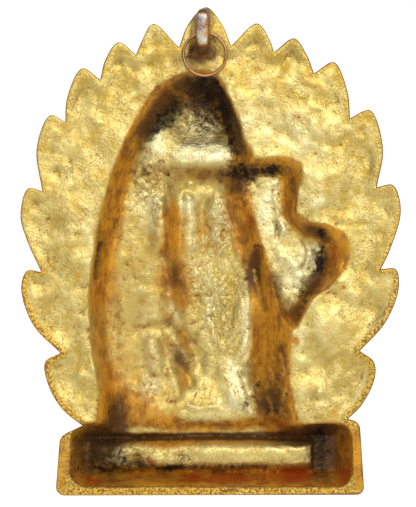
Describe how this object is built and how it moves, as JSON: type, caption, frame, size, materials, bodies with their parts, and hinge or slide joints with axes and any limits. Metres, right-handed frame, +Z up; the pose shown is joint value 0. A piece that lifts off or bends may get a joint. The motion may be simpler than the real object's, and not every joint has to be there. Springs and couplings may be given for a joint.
{
  "type": "cast aluminium wall plaque",
  "caption": "Hollow-backed relief wall plaque of a robed figure with a child before a leaf-edged plate on a plinth, with a cast lug and a wire hanging ring.",
  "frame": {"origin": "where the hanging ring's wire passes through the eye of the cast lug, near the top of the back", "axes": "+Z up, +Y from the plaque's hollow back towards the wall, -Y out of the carved front, +X to the viewer's right in front of it"},
  "size_m": [0.2019, 0.0384, 0.2591],
  "materials": {
    "gold_lacquer": "cast aluminium under worn transparent gold lacquer, amber to brown-black in the hollows, bare and silver on the lug",
    "copper_wire": "drawn copper-coloured wire, slightly dulled"
  },
  "bodies": {
    "root": {"casting": "gold_lacquer", "hanging_ring": "copper_wire"}
  },
  "joints": []
}
